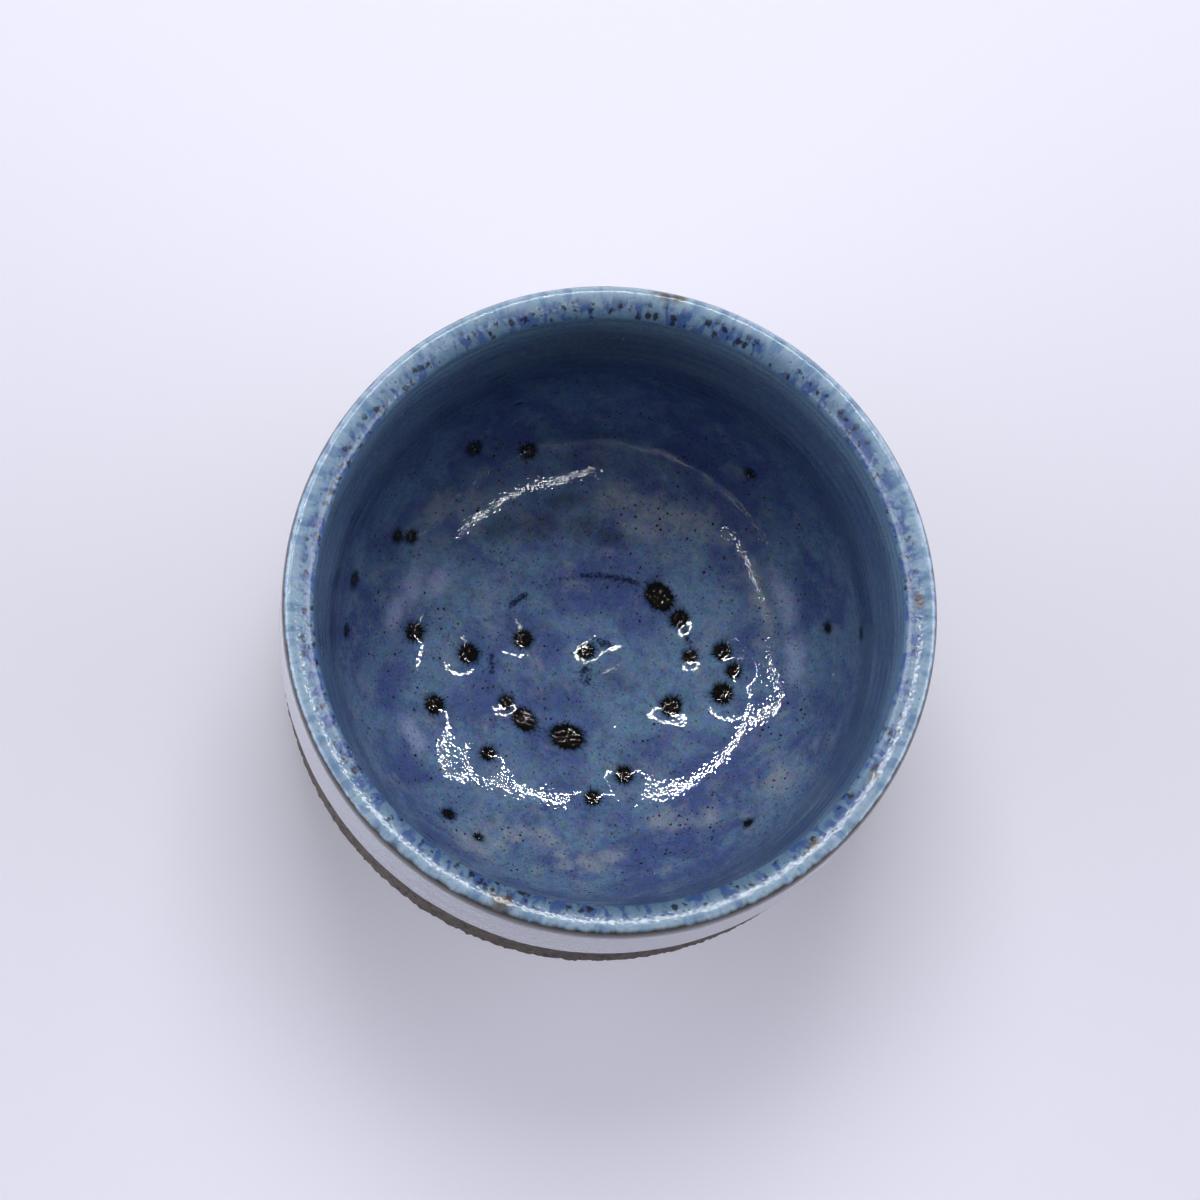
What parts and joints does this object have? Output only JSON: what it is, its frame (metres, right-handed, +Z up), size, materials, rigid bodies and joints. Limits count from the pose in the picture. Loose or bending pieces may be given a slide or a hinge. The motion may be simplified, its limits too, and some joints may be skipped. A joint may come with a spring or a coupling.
{
  "type": "stoneware cup",
  "caption": "Handleless thrown stoneware cup with a glossy blue lining, a pale glaze band outside, raw speckled clay below it and a turned foot ring. It holds a drink.",
  "frame": {"origin": "centre of the foot ring on the table", "axes": "+Z up along the wheel's axis, -Y towards the viewer of the picture"},
  "size_m": [0.0828, 0.0824, 0.0582],
  "materials": {
    "raw_clay": "matt, sandy",
    "blue_glaze": "gloss, mottled",
    "pale_glaze": "gloss",
    "iron": "gloss"
  },
  "bodies": {
    "root": {"clay_body": "raw_clay", "blue_lining": "blue_glaze", "pale_coat": "pale_glaze", "iron_grain_01": "iron", "iron_grain_02": "iron", "iron_grain_03": "iron", "iron_grain_04": "iron", "iron_grain_05": "iron", "iron_grain_06": "iron", "iron_grain_07": "iron", "iron_grain_08": "iron", "iron_grain_09": "iron", "iron_grain_10": "iron", "iron_grain_11": "iron", "iron_grain_12": "iron", "iron_grain_13": "iron", "iron_grain_14": "iron", "iron_grain_15": "iron", "iron_grain_16": "iron", "iron_grain_17": "iron", "iron_grain_18": "iron", "iron_grain_19": "iron", "iron_grain_20": "iron", "iron_grain_21": "iron", "iron_grain_22": "iron", "iron_grain_23": "iron", "iron_grain_24": "iron", "iron_grain_25": "iron", "iron_grain_26": "iron", "iron_grain_27": "iron", "iron_grain_28": "iron", "iron_grain_29": "iron", "iron_grain_30": "iron"}
  },
  "joints": []
}
